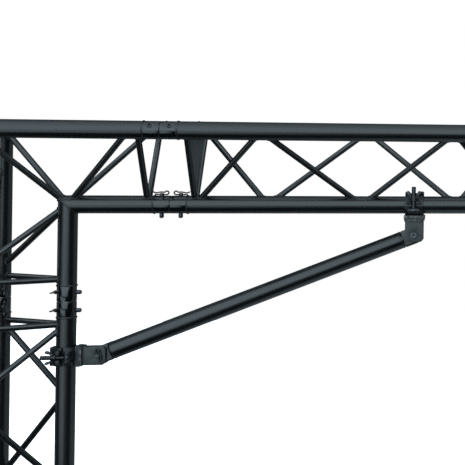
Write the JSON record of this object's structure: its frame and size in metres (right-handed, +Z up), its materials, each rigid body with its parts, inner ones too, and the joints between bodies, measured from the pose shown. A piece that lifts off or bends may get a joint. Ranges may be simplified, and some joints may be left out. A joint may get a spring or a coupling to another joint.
{
  "type": "lighting truss section",
  "caption": "Triangular lighting truss corner with a horizontal beam and a vertical tower leg, pinned conical joints and a clamped diagonal brace.",
  "frame": {"origin": "axis of the tower's inner chord at the foot plane", "axes": "+Z up the tower, +X out along the beam, +Y to the back; the front lacing face is on -Y"},
  "size_m": [1.5, 0.2912, 1.5],
  "materials": {
    "chords": "satin black powder coat on aluminium tube",
    "lacing": "satin black powder coat on aluminium tube",
    "sockets": "semi-gloss black coat on machined aluminium",
    "plate": "satin black coat",
    "brace": "satin black powder coat",
    "couplers": "satin black coat on forged aluminium",
    "fasteners": "blackened steel",
    "pins": "blackened steel, rubbed bright at the ends",
    "spring_wire": "blackened spring wire",
    "alloy": "turned aluminium"
  },
  "bodies": {
    "truss": {"corner_chord_inner": "chords", "corner_chord_front": "chords", "corner_chord_back": "chords", "corner_lacing_front": "lacing", "corner_lacing_back": "lacing", "corner_lacing_outer": "lacing", "corner_end_frames": "lacing", "corner_sockets": "sockets", "beam_chord_lower": "chords", "beam_chord_front": "chords", "beam_chord_back": "chords", "beam_lacing_front": "lacing", "beam_lacing_back": "lacing", "beam_lacing_top": "lacing", "beam_end_frames": "lacing", "beam_sockets_joint": "sockets", "beam_sockets_open": "sockets", "beam_end_plate": "plate", "tower_chord_inner": "chords", "tower_chord_front": "chords", "tower_chord_back": "chords", "tower_lacing_front": "lacing", "tower_lacing_back": "lacing", "tower_lacing_outer": "lacing", "tower_end_frames": "lacing", "tower_sockets_joint": "sockets", "tower_sockets_open": "sockets", "beam_joint_spigots": "alloy", "beam_joint_pins": "pins", "beam_joint_clips": "spring_wire", "tower_joint_spigots": "alloy", "tower_joint_pins": "pins", "tower_joint_clips": "spring_wire"},
    "upper_coupler": {"upper_saddle": "couplers", "upper_fork": "couplers", "upper_fork_bolt": "fasteners", "upper_pivot_pin": "pins", "upper_pivot_clip": "spring_wire", "upper_jaw_hinge_pin": "pins", "upper_bolt_pivot_pin": "pins"},
    "upper_jaw_body": {"upper_jaw": "couplers"},
    "upper_swing_bolt_body": {"upper_swing_bolt": "fasteners"},
    "upper_washer_body": {"upper_washer": "fasteners"},
    "upper_wing_nut_body": {"upper_wing_nut": "fasteners"},
    "lower_coupler": {"lower_saddle": "couplers", "lower_fork": "couplers", "lower_fork_bolt": "fasteners", "lower_pivot_pin": "pins", "lower_pivot_clip": "spring_wire", "lower_jaw_hinge_pin": "pins", "lower_bolt_pivot_pin": "pins"},
    "lower_jaw_body": {"lower_jaw": "couplers"},
    "lower_swing_bolt_body": {"lower_swing_bolt": "fasteners"},
    "lower_washer_body": {"lower_washer": "fasteners"},
    "lower_wing_nut_body": {"lower_wing_nut": "fasteners"},
    "brace": {"brace_tube": "brace", "brace_end_lower": "brace", "brace_end_upper": "brace"}
  },
  "joints": [
    {"name": "lower_coupler_slide", "type": "slide", "parent": "truss", "child": "lower_coupler", "axis": [0, 0, 1], "range_m": [-0.02, 0.004]},
    {"name": "upper_coupler_slide", "type": "slide", "parent": "truss", "child": "upper_coupler", "axis": [1, 0, 0], "range_m": [-0.0079, 0.0016]},
    {"name": "brace_pivot", "type": "hinge", "parent": "upper_coupler", "child": "brace", "pos_m": [0.925, 0, 1.18015], "axis": [0, 1, 0], "range_deg": [-1.37, 0.28]},
    {"name": "upper_bolt_swing", "type": "hinge", "parent": "upper_coupler", "child": "upper_swing_bolt_body", "pos_m": [0.925, -0.037, 1.25315], "axis": [1, 0, 0], "range_deg": [0, 95]},
    {"name": "upper_nut_travel", "type": "slide", "parent": "upper_swing_bolt_body", "child": "upper_washer_body", "axis": [0, 0, 1], "range_m": [0, 0.01201]},
    {"name": "upper_nut_spin", "type": "hinge", "parent": "upper_washer_body", "child": "upper_wing_nut_body", "pos_m": [0.925, -0.037, 1.28715], "axis": [0, 0, 1], "range_deg": [0, 2468.6]},
    {"name": "upper_jaw_open", "type": "hinge", "parent": "upper_coupler", "child": "upper_jaw_body", "pos_m": [0.925, 0.038, 1.26715], "axis": [-1, 0, 0], "range_deg": [0, 9.05]},
    {"name": "lower_bolt_swing", "type": "hinge", "parent": "lower_coupler", "child": "lower_swing_bolt_body", "pos_m": [0.014, -0.037, 0.85015], "axis": [0, 0, 1], "range_deg": [0, 95]},
    {"name": "lower_nut_travel", "type": "slide", "parent": "lower_swing_bolt_body", "child": "lower_washer_body", "axis": [-1, 0, 0], "range_m": [0, 0.01201]},
    {"name": "lower_nut_spin", "type": "hinge", "parent": "lower_washer_body", "child": "lower_wing_nut_body", "pos_m": [-0.02, -0.037, 0.85015], "axis": [-1, 0, 0], "range_deg": [0, 2468.6]},
    {"name": "lower_jaw_open", "type": "hinge", "parent": "lower_coupler", "child": "lower_jaw_body", "pos_m": [0, 0.038, 0.85015], "axis": [0, 0, -1], "range_deg": [0, 9.05]}
  ],
  "couplings": [
    {"joint": "upper_coupler_slide", "follows": "lower_coupler_slide", "ratio": 0.3938},
    {"joint": "brace_pivot", "follows": "lower_coupler_slide", "rad_per_m": 1.1933},
    {"joint": "upper_nut_spin", "follows": "upper_nut_travel", "rad_per_m": 3590.4},
    {"joint": "upper_jaw_open", "follows": "upper_nut_travel", "rad_per_m": 13.072},
    {"joint": "lower_nut_spin", "follows": "lower_nut_travel", "rad_per_m": 3590.4},
    {"joint": "lower_jaw_open", "follows": "lower_nut_travel", "rad_per_m": 13.072}
  ]
}
